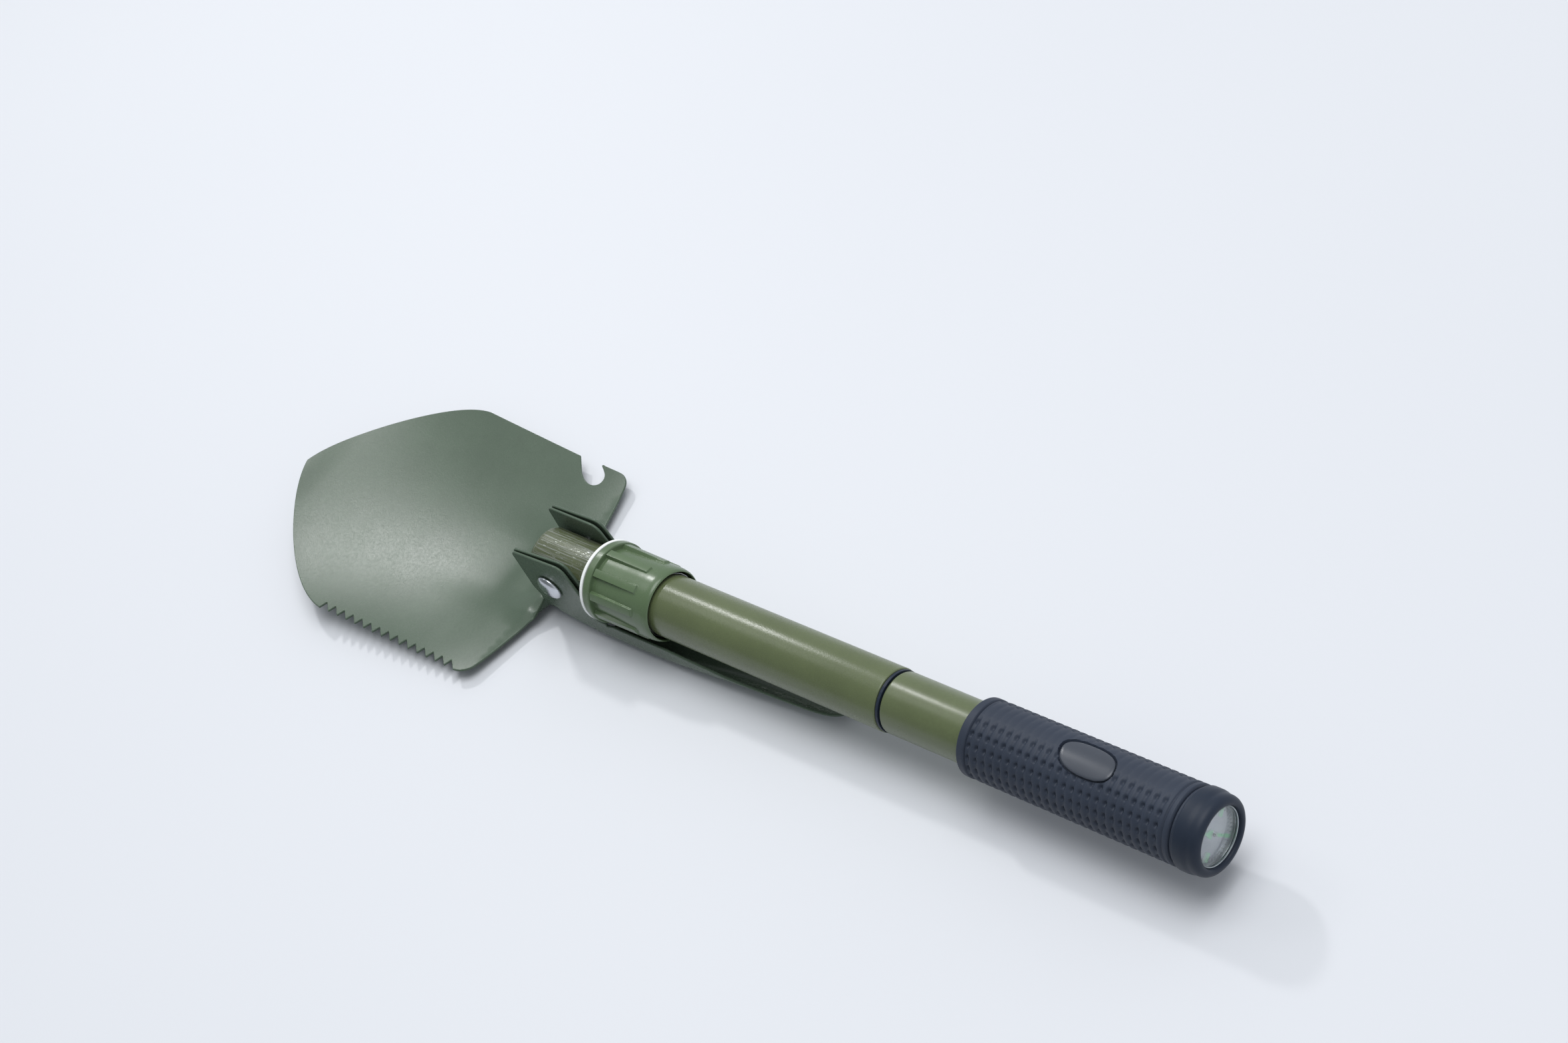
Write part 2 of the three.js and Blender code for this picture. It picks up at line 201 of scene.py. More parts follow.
def sheet(name, outline, surface, t, step, mat, rim=0.3, side=1.0, rounds=4, fine=None):
    """A bent or dished plate of even thickness t with rounded edges, from its outline in its own
    flat coordinates and a function from these to points and normals of its upper face. Its grid has
    the given step, and inside a rectangle the step of fine; side is the step along the outline. The
    rounding reaches in by rim and is made in the given number of rounds."""
    p = resample(outline, side)
    p = p[np.linalg.norm(p - np.roll(p, 1, 0), axis=1) > SHORT_SIDE]
    area = np.sum(p[:, 0] * np.roll(p[:, 1], -1) - np.roll(p[:, 0], -1) * p[:, 1])
    if area < 0:
        p = p[::-1].copy()
    e = np.roll(p, -1, 0) - p
    e /= np.linalg.norm(e, axis=1)[:, None]
    en = np.stack([e[:, 1], -e[:, 0]], 1)
    n = en + np.roll(en, 1, 0)
    n /= np.maximum(np.linalg.norm(n, axis=1), 1e-9)[:, None]
    cosine = np.clip(np.sum(n * en, 1), SHARPEST, 1)
    n /= cosine[:, None]
    inset = p - rim * n
    lo, hi = inset.min(0), inset.max(0)
    grid = hex_points(lo, hi, step)
    if fine:
        (f_lo, f_hi), f_step = fine
        f_lo, f_hi = np.maximum(f_lo, lo), np.minimum(f_hi, hi)
        out = ((grid < f_lo - 0.5 * f_step) | (grid > f_hi + 0.5 * f_step)).any(1)
        extra = hex_points(f_lo, f_hi, f_step)
        extra = extra[inside(inset, extra)]
        extra = extra[gap_to(inset, extra) > EDGE_CLEAR * f_step]
        grid = grid[out]
    grid = grid[inside(inset, grid)]
    grid = grid[gap_to(inset, grid) > EDGE_CLEAR * step]
    if fine:
        grid = np.concatenate([grid, extra])
    flat = np.concatenate([inset, grid])
    m = len(inset)
    edges = [(i, (i + 1) % m) for i in range(m)]
    ov, _, of, orig, _, _ = delaunay_2d_cdt([Vector(q) for q in flat], edges, [], 1, 1e-7)
    where = {}
    for i, o in enumerate(orig):
        for k in o:
            where[k] = i
    q2 = np.array([(w.x, w.y) for w in ov])
    P, N = surface(q2[:, 0], q2[:, 1])
    count = len(q2)
    verts = [P, P - t * N]
    normals = [N, -N]
    faces = [tuple(f) for f in of] + [tuple(count + i for i in reversed(f)) for f in of]
    loops = [[where[i] for i in range(m)]]
    base = 2 * count
    for k in range(1, rounds):
        a = math.pi * k / rounds
        q = inset + rim * math.sin(a) * n
        Pk, Nk = surface(q[:, 0], q[:, 1])
        verts.append(Pk - (t / 2) * (1 - math.cos(a)) * Nk)
        away = surface(*(inset + PROBE * n).T)[0] - surface(*inset.T)[0]
        away -= np.sum(away * Nk, 1)[:, None] * Nk
        away /= np.linalg.norm(away, axis=1)[:, None]
        normals.append(math.cos(a) * Nk + math.sin(a) * away)
        loops.append(list(range(base, base + m)))
        base += m
    loops.append([count + where[i] for i in range(m)])
    for a, b in zip(loops, loops[1:]):
        for i in range(m):
            j = (i + 1) % m
            faces.append((a[i], b[i], b[j], a[j]))
    me = bpy.data.meshes.new(name)
    me.from_pydata([tuple(v) for v in place(np.concatenate(verts))], [], faces)
    bm = bmesh.new()
    bm.from_mesh(me)
    bmesh.ops.recalc_face_normals(bm, faces=bm.faces)
    bm.to_mesh(me)
    bm.free()
    me.shade_smooth()
    me.normals_split_custom_set_from_vertices([tuple(v) for v in np.concatenate(normals)])
    ob = bpy.data.objects.new(name, me)
    bpy.context.scene.collection.objects.link(ob)
    me.materials.append(mat)
    return ob


def rounded(corners, steps=6):
    """Polygon corners as (u, v, radius), each turned into a short curve."""
    out = []
    n = len(corners)
    for i in range(n):
        c = corners[i]
        p = np.array(c[:2], float)
        r = c[2] if len(c) > 2 else 0
        if not r:
            out.append(p)
            continue
        a = np.array(corners[i - 1][:2], float) - p
        b = np.array(corners[(i + 1) % n][:2], float) - p
        la, lb = np.linalg.norm(a), np.linalg.norm(b)
        half = math.acos(np.clip(a @ b / (la * lb), -1, 1)) / 2
        back = min(r / math.tan(half), la * 0.48, lb * 0.48)
        p0, p2 = p + a / la * back, p + b / lb * back
        for k in range(steps + 1):
            s = k / steps
            out.append((1 - s) ** 2 * p0 + 2 * s * (1 - s) * p + s * s * p2)
    return out


def bezier(p0, p1, p2, p3, steps):
    """Points along a cubic curve."""
    t = np.linspace(0, 1, steps + 1)[:, None]
    p0, p1, p2, p3 = (np.array(p, float) for p in (p0, p1, p2, p3))
    return list((1 - t) ** 3 * p0 + 3 * t * (1 - t) ** 2 * p1 + 3 * t * t * (1 - t) * p2 + t ** 3 * p3)


def join(obs, name):
    """Puts several meshes into one object."""
    bm = bmesh.new()
    mats = []
    for ob in obs:
        shift = {}
        for i, m in enumerate(ob.data.materials):
            if m not in mats:
                mats.append(m)
            shift[i] = mats.index(m)
        n0 = len(bm.faces)
        bm.from_mesh(ob.data)
        bm.faces.ensure_lookup_table()
        for f in bm.faces[n0:]:
            f.material_index = shift.get(f.material_index, 0)
    me = bpy.data.meshes.new(name)
    bm.to_mesh(me)
    bm.free()
    for m in mats:
        me.materials.append(m)
    for ob in obs:
        bpy.data.objects.remove(ob, do_unlink=True)
    ob = bpy.data.objects.new(name, me)
    bpy.context.scene.collection.objects.link(ob)
    return ob


# ---------------------------------------------------------------- materials

class Nodes:
    """Small helper to build a material's node tree."""

    def __init__(self, name):
        self.mat = bpy.data.materials.new(name)
        self.mat.use_nodes = True
        self.t = self.mat.node_tree
        self.b = self.t.nodes["Principled BSDF"]
        self.co = self.t.nodes.new("ShaderNodeTexCoord").outputs["Object"]

    def link(self, a, b):
        self.t.links.new(a, b)

    def node(self, kind, **props):
        n = self.t.nodes.new(kind)
        for k, v in props.items():
            setattr(n, k, v)
        return n

    def scaled(self, scale):
        m = self.node("ShaderNodeMapping")
        m.inputs["Scale"].default_value = scale
        self.link(self.co, m.inputs["Vector"])
        return m.outputs["Vector"]

    def noise(self, scale, detail, rough, stretch=None):
        n = self.node("ShaderNodeTexNoise")
        n.inputs["Scale"].default_value = scale
        n.inputs["Detail"].default_value = detail
        n.inputs["Roughness"].default_value = rough
        self.link(self.scaled(stretch) if stretch else self.co, n.inputs["Vector"])
        return n.outputs["Fac"]

    def cells(self, scale):
        n = self.node("ShaderNodeTexVoronoi")
        n.inputs["Scale"].default_value = scale
        self.link(self.co, n.inputs["Vector"])
        return n.outputs["Distance"]

    def span(self, fac, lo, hi, from_lo=0.0, from_hi=1.0):
        """fac carried from one range to another and held inside it."""
        n = self.node("ShaderNodeMapRange")
        n.inputs["From Min"].default_value = from_lo
        n.inputs["From Max"].default_value = from_hi
        n.inputs["To Min"].default_value = lo
        n.inputs["To Max"].default_value = hi
        self.link(fac, n.inputs["Value"])
        return n.outputs["Result"]

    def math(self, op, a, b):
        n = self.node("ShaderNodeMath", operation=op)
        for i, v in enumerate((a, b)):
            if isinstance(v, (int, float)):
                n.inputs[i].default_value = v
            else:
                self.link(v, n.inputs[i])
        return n.outputs[0]

    def mix(self, fac, a, b):
        n = self.node("ShaderNodeMix", data_type="RGBA")
        self.link(fac, n.inputs[0])
        for i, v in ((6, a), (7, b)):
            if isinstance(v, tuple):
                n.inputs[i].default_value = (*v, 1)
            else:
                self.link(v, n.inputs[i])
        return n.outputs[2]

    def bump(self, height, dist):
        n = self.node("ShaderNodeBump")
        n.inputs["Strength"].default_value = 1.0
        n.inputs["Distance"].default_value = dist
        self.link(height, n.inputs["Height"])
        return n.outputs["Normal"]

    def set(self, **values):
        """Links or sets the shader's inputs, and gives back the material."""
        for k, v in values.items():
            s = self.b.inputs[k.replace("_", " ")]
            if isinstance(v, bpy.types.NodeSocket):
                self.link(v, s)
            elif isinstance(v, tuple) and len(v) == 3:
                s.default_value = (*v, 1)
            else:
                s.default_value = v
        return self.mat


def srgb(*levels):
    """A colour in linear light from its 0 to 255 levels."""
    return tuple(c / 255 / 12.92 if c / 255 <= 0.04045 else ((c / 255 + 0.055) / 1.055) ** 2.4
                 for c in levels)


def shade(c, k):
    """A colour made lighter or darker."""
    return tuple(min(1.0, v * k) for v in c)


def paint(name, colour, rough, peel=0.000012, spec=0.5):
    """Powder-coated steel: orange peel of the given height in m, and a slow change of colour."""
    m = Nodes(name)
    slow = m.noise(38, 4.0, 0.6)
    fine = m.noise(900, 3.0, 0.6)
    grain = m.noise(2600, 2.0, 0.5)
    speck = m.cells(1500)
    col = m.mix(m.span(slow, 0.0, 1.0, 0.3, 0.7), shade(colour, 0.9), shade(colour, 1.08))
    col = m.mix(m.span(fine, 0.0, 0.55, 0.35, 0.75), col, shade(colour, 0.82))
    height = m.math("ADD", grain, m.math("MULTIPLY", speck, 0.5))
    r = m.math("ADD", m.span(fine, rough - 0.05, rough + 0.06), m.span(slow, -0.03, 0.04))
    n = m.bump(height, peel)
    m.set(Base_Color=col, Roughness=r, Normal=n)
    m.b.inputs["Specular IOR Level"].default_value = spec
    return m.mat


def scraped(name, colour, bare):
    """Paint dragged thin along the bar, with bright bare specks along the scratches."""
    m = Nodes(name)
    scratch = m.noise(1.0, 5.0, 0.7, stretch=(50, 1900, 1900))
    speck = m.noise(1.0, 4.0, 0.7, stretch=(300, 1300, 1300))
    slow = m.noise(90, 4.0, 0.6)
    col = m.mix(m.span(slow, 0.0, 1.0, 0.3, 0.7), shade(colour, 0.8), shade(colour, 1.15))
    col = m.mix(m.span(scratch, 0.0, 0.75, 0.5, 0.66), col, bare)
    col = m.mix(m.span(speck, 0.0, 0.85, 0.6, 0.68), col, shade(bare, 1.6))
    r = m.math("SUBTRACT", m.span(scratch, 0.42, 0.3), m.span(speck, 0.0, 0.1, 0.55, 0.7))
    height = m.math("ADD", scratch, m.math("MULTIPLY", speck, 0.6))
    return m.set(Base_Color=col, Roughness=r, Metallic=m.span(speck, 0.0, 0.8, 0.58, 0.68),
                 Normal=m.bump(height, 0.00004))


def moulded(name, colour, rough, grain=0.000006, spec=0.5, scale=1400):
    """Injection-moulded plastic: faint flow marks and a fine surface grain."""
    m = Nodes(name)
    flow = m.noise(60, 3.0, 0.5, stretch=(0.35, 1, 1))
    fine = m.noise(scale, 2.0, 0.5)
    dust = m.noise(420, 5.0, 0.7)
    col = m.mix(m.span(flow, 0.0, 1.0, 0.3, 0.7), shade(colour, 0.92), shade(colour, 1.08))
    col = m.mix(m.span(dust, 0.0, 0.18, 0.58, 0.72), col, shade(colour, 1.5))
    r = m.math("ADD", m.span(flow, rough - 0.04, rough + 0.05), m.span(dust, -0.02, 0.06))
    m.set(Base_Color=col, Roughness=r, Normal=m.bump(fine, grain))
    m.b.inputs["Specular IOR Level"].default_value = spec
    return m.mat


def metal(name, colour, rough, stretch=(3200, 300, 300), depth=0.000004):
    """Bare metal with fine turning or rolling marks."""
    m = Nodes(name)
    lines = m.noise(1.0, 4.0, 0.65, stretch=stretch)
    blotch = m.noise(220, 3.0, 0.5)
    col = m.mix(m.span(blotch, 0.0, 1.0, 0.35, 0.7), shade(colour, 0.86), colour)
    r = m.math("ADD", m.span(lines, rough * 0.7, rough * 1.35), m.span(blotch, -0.02, 0.05))
    m.set(Base_Color=col, Roughness=r, Metallic=1.0, Normal=m.bump(lines, depth))
    return m.mat


OLIVE_TUBE = srgb(92, 102, 70)

blade_mat = paint("blade_paint", srgb(80, 95, 80), 0.26, spec=0.24)
core_mat = scraped("core_paint", srgb(78, 86, 58), srgb(146, 150, 146))
tube_mat = paint("tube_paint", OLIVE_TUBE, 0.27, 0.00002)
rear_mat = paint("rear_tube_paint", OLIVE_TUBE, 0.29, 0.000006)
collar_mat = moulded("green_plastic", srgb(84, 103, 74), 0.24)
washer_mat = moulded("white_nylon", srgb(240, 242, 240), 0.4)
rubber_mat = moulded("grip_rubber", srgb(50, 57, 70), 0.5, 0.00002, 0.25, 1800)
badge_mat = moulded("badge_plastic", srgb(60, 65, 74), 0.3, 0.000004, 0.5, 900)
cap_mat = moulded("black_plastic", srgb(36, 44, 57), 0.42, 0.000006, 0.22)
chrome_mat = metal("rivet_chrome", (0.62, 0.64, 0.68), 0.2, (260, 260, 260), 0.000003)
steel_mat = metal("bare_steel", srgb(165, 167, 168), 0.32)
silver_mat = metal("compass_silver", srgb(190, 198, 200), 0.3)

# ---------------------------------------------------------------- blade

SHEET = 1.1                      # thickness of the blade and the pick
TIP = -173.5
WIDE, WIDE_HALF = -117.7, 50.8   # where the blade is widest, and half its width there
BACK, BACK_HALF = -42.2, 48.4    # the same at its rear corners
FLOOR = -17.0                    # height of the blade's rim at its rear
NECK = -41                       # where the blade ends and its neck begins


def edge_at(x):
    """Half of the blade's width along its straight sides."""
    return WIDE_HALF + (BACK_HALF - WIDE_HALF) * (x - WIDE) / (BACK - WIDE)


def smooth(a, b, x):
    """0 before a, 1 after b, and an eased step between."""
    t = np.clip((x - a) / (b - a), 0, 1)
    return t * t * (3 - 2 * t)


def spline(points, steps=5):
    """A smooth line through all the points."""
    p = np.array(points, float)
    q = np.concatenate([[2 * p[0] - p[1]], p, [2 * p[-1] - p[-2]]])
    out = []
    for i in range(len(p) - 1):
        a, b, c, d = q[i:i + 4]
        for k in range(steps):
            t = k / steps
            out.append(0.5 * (2 * b + (c - a) * t + (2 * a - 5 * b + 4 * c - d) * t * t
                              + (3 * b - a - 3 * c + d) * t ** 3))
    return out + [p[-1]]


# (x, depth) of the blade's dish, along its middle and along the shoulders beside the neck
FRONT_HALF = [(-180, 0), (-173.5, 0), (-160, 1.5), (-140, 3.0), (-120, 4.1), (-100, 4.9)]
DISH = np.array(spline([*FRONT_HALF, (-80, 5.4), (-65, 5.2), (-57, 4.4), (-49, 2.6), (NECK, 0),
                        (-36, 0), (-20, 0)], 12))
SHOULDER = np.array(spline([*FRONT_HALF, (-80, 5.2), (-65, 4.6), (-50, 3.2), (NECK, 2.4),
                            (-36, 2.0), (-20, 2.0)], 12))


def blade_z(x, y):
    """Height of the blade's upper face: a dish whose rim rises slowly toward the tip."""
    u = np.maximum(0, NECK - x)
    rim = FLOOR + 0.055 * u + 0.00016 * u * u
    depth = np.interp(x, DISH[:, 0], DISH[:, 1])
    shoulder = np.interp(x, SHOULDER[:, 0], SHOULDER[:, 1])
    w = smooth(9, 25, np.abs(y))
    return rim - (depth * (1 - w) + shoulder * w) * np.maximum(0, 1 - (y / WIDE_HALF) ** 2)


def trough(x):
    """How far the neck sinks below the shoulders."""
    return 2.3 * smooth(-58, -37, x)


class Channel:
    """A sheet bent up at both sides. half, floor and corner are functions of x: half its width,
    the height of its underside and the outer radius of its bends."""

    def __init__(self, half, floor, corner, t):
        self.half, self.floor, self.corner, self.t = half, floor, corner, t

    def flat(self, x):
        return self.half(x) - self.corner(x)

    def arc(self, x):
        return (self.corner(x) - self.t) * math.pi / 2

    def across(self, x, z):
        """Distance across the flat sheet to height z on a wall."""
        return self.flat(x) + self.arc(x) + (z - self.floor(x) - self.corner(x))

    def at(self, x, s):
        """Points and normals of the inner face from x and the distance s across the flat sheet."""
        x = np.asarray(x, float)
        sign = np.sign(s)
        sign[sign == 0] = 1
        a = np.abs(s)
        flat, f, c = self.flat(x), self.floor(x), self.corner(x)
        ci = c - self.t
        phi = np.clip((a - flat) / ci, 0, math.pi / 2)
        wall = np.maximum(a - flat - self.arc(x), 0)
        y = np.minimum(a, flat) + ci * np.sin(phi)
        z = f + c - ci * np.cos(phi) + wall
        ny, nz = -np.sin(phi), np.cos(phi)
        P = np.stack([x, sign * y, z], 1)
        N = np.stack([np.zeros_like(x), sign * ny, nz], 1)
        return P, N


def across_at(channel, x, z):
    return float(channel.across(np.array([float(x)]), z)[0])


def mirrored(half_line):
    """Closes an outline from its +s half, which runs from one point at s = 0 to another."""
    up = [np.array(p, float) for p in half_line]
    down = [np.array([p[0], -p[1]]) for p in up[::-1] if abs(p[1]) > 1e-6]
    return up + down


FOLD = (-35.1, -33.4)    # the blade's plate turns into its ears between these
EARS = Channel(lambda x: np.interp(x, [-33, -6], [10.5, 9.6]),
               lambda x: FLOOR - SHEET - trough(np.asarray(x, float)), lambda x: 4.5, SHEET)


def blade_point(x, s):
    """Upper face of the blade: a dished plate that folds up into the two ears at the neck."""
    a = np.abs(s)
    flat = np.stack([x, s, blade_z(x, s) - trough(x) * (1 - smooth(7, 17, a))], 1)
    ear, _ = EARS.at(x, s)
    w = smooth(*FOLD, x)[:, None]
    return flat * (1 - w) + ear * w


def blade_surface(x, s):
    """The same with its normals, from points a short way to each side."""
    dx = blade_point(x + PROBE, s) - blade_point(x - PROBE, s)
    ds = blade_point(x, s + PROBE) - blade_point(x, s - PROBE)
    n = np.cross(dx, ds)
    return blade_point(x, s), n / np.linalg.norm(n, axis=1)[:, None]


def blade_half(side):
    """Flat outline from the tip back to the neck's rear, with teeth or the opener's notch."""
    line = bezier((TIP, 0), (TIP + 5.5, 20), (WIDE - 20.3, WIDE_HALF - 1.8), (WIDE, WIDE_HALF), 60)
    if side < 0:
        teeth = []
        pitch, back, depth, count = 4.65, 0.85, 3.2, 15    # back: how far each notch leans
        for i in range(1, count + 1):
            x = WIDE + i * pitch
            teeth.append((x - pitch + back, edge_at(x) - depth, 0.35))
            teeth.append((x, edge_at(x), 0.3))
        line += rounded([(WIDE, WIDE_HALF)] + teeth + [(-30, 40)])[1:-1]
        line += spline([(-47.3, 48.45), (-45.4, 47.9), (-43.3, 46.4), (-41.9, 44.6), (-41.2, 42.6)])
    else:
        line += rounded([(WIDE, WIDE_HALF), (-68.6, 49.35, 0.3), (-65.9, 46.2), (-60, 40)])[1:-1]
        line += spline([(-65.9, 46.2), (-63.6, 43.7), (-60.7, 41.7), (-57.7, 40.7), (-55, 40.8),
                        (-53.1, 42.1), (-52.6, 44.1), (-53.3, 45.9), (-55, 47.4), (-56.9, 48.7)])
        line += spline([(-57.1, 49.2), (-56.5, 49.5), (-55.3, 49.4)], 3)
        line += spline([(-48.2, 49.3), (-46, 49), (-43.8, 47.8), (-42.3, 45.9), (-41.4, 43.4)])

    def s(x, z):
        return across_at(EARS, x, z)
    line += spline([(-37.0, 26), (-36.2, 22.6), (-35.4, 19.6), (-34.8, 16.6), (-34.2, 14.2),
                    (-33.3, s(-33.3, -13.5)), (-32.9, s(-33, -10))], 4)
    line += rounded([(-33, 0), (-32.9, s(-33, -8), 2), (-32.3, s(-32.3, 14.4), 2),
                     (-5.5, s(-5.5, 16.3), 4.6), (-2.9, s(-3, 3), 2), (-4.6, s(-4.6, -9), 3),
                     (-12, 6.5), (-12, 0), (-20, 0)])[1:-1]
    return [np.array([p[0], side * p[1]]) for p in line]


def make_blade():
    left = blade_half(1)
    right = blade_half(-1)[::-1]
    outline = left[:-1] + right[:-1]
    return sheet("blade_sheet", outline, blade_surface, SHEET, 2.4, blade_mat, side=0.8,
                 fine=(((-50, -20), (-2, 20)), 0.9))


def make_pick():
    """A channel that tapers and turns rounder toward its point, with two ears at the rivet."""
    taper, nose_from, point = 8, 84, 105.5    # x where these begin and where the pick ends

    def k(x):
        return np.clip((np.asarray(x, float) - taper) / (point - taper), 0, 1)
    ch = Channel(lambda x: 11.8 + (9.6 - 11.8) * k(x) ** 1.3,
                 lambda x: -22.4 + 2.6 * k(x) ** 2, lambda x: 5.5 + 3.8 * smooth(20, 75, x), SHEET)

    def s(x, z):
        return across_at(ch, x, z)

    def top(x):
        return np.interp(x, [-2, 30, 60, nose_from], [-10.5, -11.2, -14.0, -15.2])
    nose = []
    start = s(nose_from, top(nose_from))
    for i in range(1, 25):
        a = math.pi / 2 * i / 24
        nose.append((nose_from + (point - nose_from) * math.sin(a), start * math.cos(a) ** 0.9))
    wall = [(x, s(x, top(x))) for x in np.linspace(6, nose_from, 40)]
    half = rounded([
        (-4.5, 0), (-4.5, 5.5), (-4.5, s(-4.5, -20.6), 1), (-8, s(-8, -17.6), 2),
        (-17, s(-17, -16.4), 3), (-23, s(-23, -14.9), 3), (-29.0, s(-29.0, -10.5), 4),
        (-31.6, s(-31.6, -4.5), 4),
        (-31.9, s(-31.9, 14.4), 2), (-5.5, s(-5.5, 16.3), 4.6), (-3.4, s(-3.4, 2.5), 2),
        (-2.2, s(-2.2, -10.5), 1.5), (2.5, s(2.5, -10.5), 1),
    ])
    line = half + [np.array(p) for p in wall + nose]
    line[-1] = np.array([line[-1][0], 0.0])
    return sheet("pick_sheet", mirrored(line), ch.at, SHEET, 1.8, blade_mat, side=0.9)


blade = make_blade()
pick = make_pick()
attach(blade, "blade")
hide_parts("blade")
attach(pick, "pick")
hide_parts("pick")

# ---------------------------------------------------------------- hinge core and rivet


def make_core():
    """A bar that is round above and below and flat at the sides, with a shank into the tube."""
    r, flat, flat_top = 11.0, 8.2, 6.6
    a = math.acos(5.6 / r)
    top = [(r * math.cos(t), r * math.sin(t)) for t in np.linspace(a, math.pi - a, 25)]
    low = [(r * math.cos(t), r * math.sin(t)) for t in np.linspace(math.pi + a, 2 * math.pi - a, 25)]
    loop = np.array([(flat, -flat_top), (flat, flat_top)] + top
                    + [(-flat, flat_top), (-flat, -flat_top)] + low)
    # (x, share of the full height): the bar's front end is chamfered
    stations = [(-30.8, 0.80), (-30.75, 0.83), (-30.5, 0.865), (-28.9, 0.975), (-28.4, 0.993),
                (-27.6, 1.0), (-10, 1.0), (1.7, 1.0)]
    verts, faces = [], []
    n = len(loop)
    for x, k in stations:
        sy = 1 - (1 - k) * 0.35
        verts.append(np.stack([np.full(n, x), loop[:, 0] * sy, loop[:, 1] * k], 1))
    for i in range(len(stations) - 1):
        for j in range(n):
            m = (j + 1) % n
            faces.append((i * n + j, i * n + m, (i + 1) * n + m, (i + 1) * n + j))
    faces.append(tuple(range(n)))
    faces.append(tuple(range((len(stations) - 1) * n, len(stations) * n)))
    bar = new_mesh("core_bar", place(np.concatenate(verts)), faces, core_mat, 35)
    shank = lathe("core_shank", [(1.6, 0.0), (1.6, 9.3), (25.5, 9.3), (26, 8.8), (26, 0.0)], core_mat)
    return join([bar, shank], "hinge_core_paint")


core = make_core()
edge = core.modifiers.new("edge", "BEVEL")
edge.width = 0.00035
edge.segments = 3
edge.limit_method = "ANGLE"
edge.angle_limit = math.radians(28)
edge.harden_normals = False
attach(core, "handle")
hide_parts("hinge_core")


def make_rivet():
    """A pin across the hinge with a domed head at each end, as (radius, y) pairs turned about y."""
    pts = []
    head, pin, under, dome, brim, steps = 5.2, 2.5, 12.1, 2.4, 0.35, 14
    for i in range(steps + 1):
        t = math.pi / 2 * i / steps
        pts.append((head * math.sin(t) ** 0.92, -(under + brim + (dome - brim) * math.cos(t))))
    pts += [(head - 0.05, -under - 0.05), (head - 0.25, -under), (pin, -under), (pin, under),
            (head - 0.25, under), (head - 0.05, under + 0.05)]
    pts += [(r, -y) for r, y in pts[:steps + 1][::-1]]
    seg = 96
    th = np.linspace(0, 2 * math.pi, seg, endpoint=False)
    verts = [np.stack([PIVOT[0] + r * np.cos(th), np.full(seg, y), PIVOT[1] + r * np.sin(th)], 1)
             for r, y in pts]
    faces = []
    for i in range(len(pts) - 1):
        for k in range(seg):
            m = (k + 1) % seg
            faces.append((i * seg + k, i * seg + m, (i + 1) * seg + m, (i + 1) * seg + k))
    return new_mesh("rivet_heads", place(np.concatenate(verts)), faces, chrome_mat, 50)


rivet = make_rivet()
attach(rivet, "handle")
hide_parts("pivot_rivet")

# ---------------------------------------------------------------- tubes


def tube(name, x0, x1, r, bore, edge, mat):
    """A pipe from x0 to x1 with both outer edges rounded."""
    a = round_edge(x0, r, edge, -edge, 6)
    b = [(x1 - (x - x0), q) for x, q in a][::-1]
    return lathe(name, [(x0, bore)] + a + b + [(x1, bore), (x0, bore)], mat, 160)


front = tube("front_tube_skin", 2.0, 133.0, 11.0, 9.6, 0.5, tube_mat)
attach(front, "handle")
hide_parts("front_tube")

rear = tube("rear_tube_skin", 134.6, 250.0, 10.6, 9.2, 1.1, rear_mat)
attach(rear, "rear_section")
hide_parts("rear_tube")

# ---------------------------------------------------------------- collar

washer = lathe("collar_washer_ring", [
    (0.0, 12.15), *round_edge(0.0, 14.62, 0.3, -0.3), (0.95, 14.62), (1.2, 14.4), (1.2, 12.15),
    (0.0, 12.15)], washer_mat, 160)
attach(washer, "collar_slide")
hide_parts("collar_washer")


RIB_TURN, RIB_FIRST = 36, 78        # degrees between the collar's ribs, and where the first is
RIB_FRONT, RIB_BACK = 4.6, 24.9     # x of the ribs' ends


def collar_radius(x, th):
    """A flange in front, ribs along a body that swells to the rear, and a rounded rear edge."""
    flange = 14.65 - 0.45 * (1 - smooth(1.5, 2.0, x)) ** 2 - 0.4 * smooth(4.0, 4.6, x) ** 3
    body = np.interp(x, [4.6, 9, 16, 22, 26, 29, 30.4, 31.1, 31.5],
                     [12.68, 12.78, 12.98, 13.25, 13.36, 13.3, 13.08, 12.8, 12.4])
    phase = (np.degrees(th) - RIB_FIRST) / RIB_TURN
    d = (phase - np.round(phase)) * math.radians(RIB_TURN) * 14.2
    box = 1 - smooth(1.35, 1.75, np.abs(d))
    along = smooth(4.55, 4.7, x) * (1 - smooth(24.3, RIB_BACK, x))
    rib = np.interp(x, [RIB_FRONT, RIB_BACK], [14.2, 14.0])
    ribbed = body + (rib - body) * box * along
    k = smooth(4.45, 4.7, x)
    return flange * (1 - k) + ribbed * k


def make_collar():
    spans = [(1.5, 2.1, 6), (2.4, 4.0, 4), (4.1, 5.0, 14), (5.4, 23.8, 30), (24.0, 25.2, 14),
             (25.6, 29.4, 8), (29.6, 31.5, 14)]
    xs = np.concatenate([np.linspace(*span) for span in spans])
    return polar("collar_body", xs, 720, collar_radius,
                 [(31.35, 12.2), (31.0, 12.1), (30.4, 12.15), (20, 12.3), (2.5, 12.3), (1.5, 12.6)],
                 collar_mat, 60)


collar = make_collar()
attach(collar, "collar")
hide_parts("lock_collar")

# ---------------------------------------------------------------- grip

GRIP_FRONT, GRIP_BACK, GRIP_R, GRIP_BORE = 168.5, 250.0, 13.2, 10.95
ROW_TURN, ROW_FIRST = 18, 98    # degrees between rows of pits, and where the first is
BADGE_X, BADGE_TH, BADGE_LONG, BADGE_WIDE = 214.3, 87.0, 10.1, 6.0
OVAL = 2.4       # how square the badge's oval is
SLANT = 0.25     # how far its ends lean


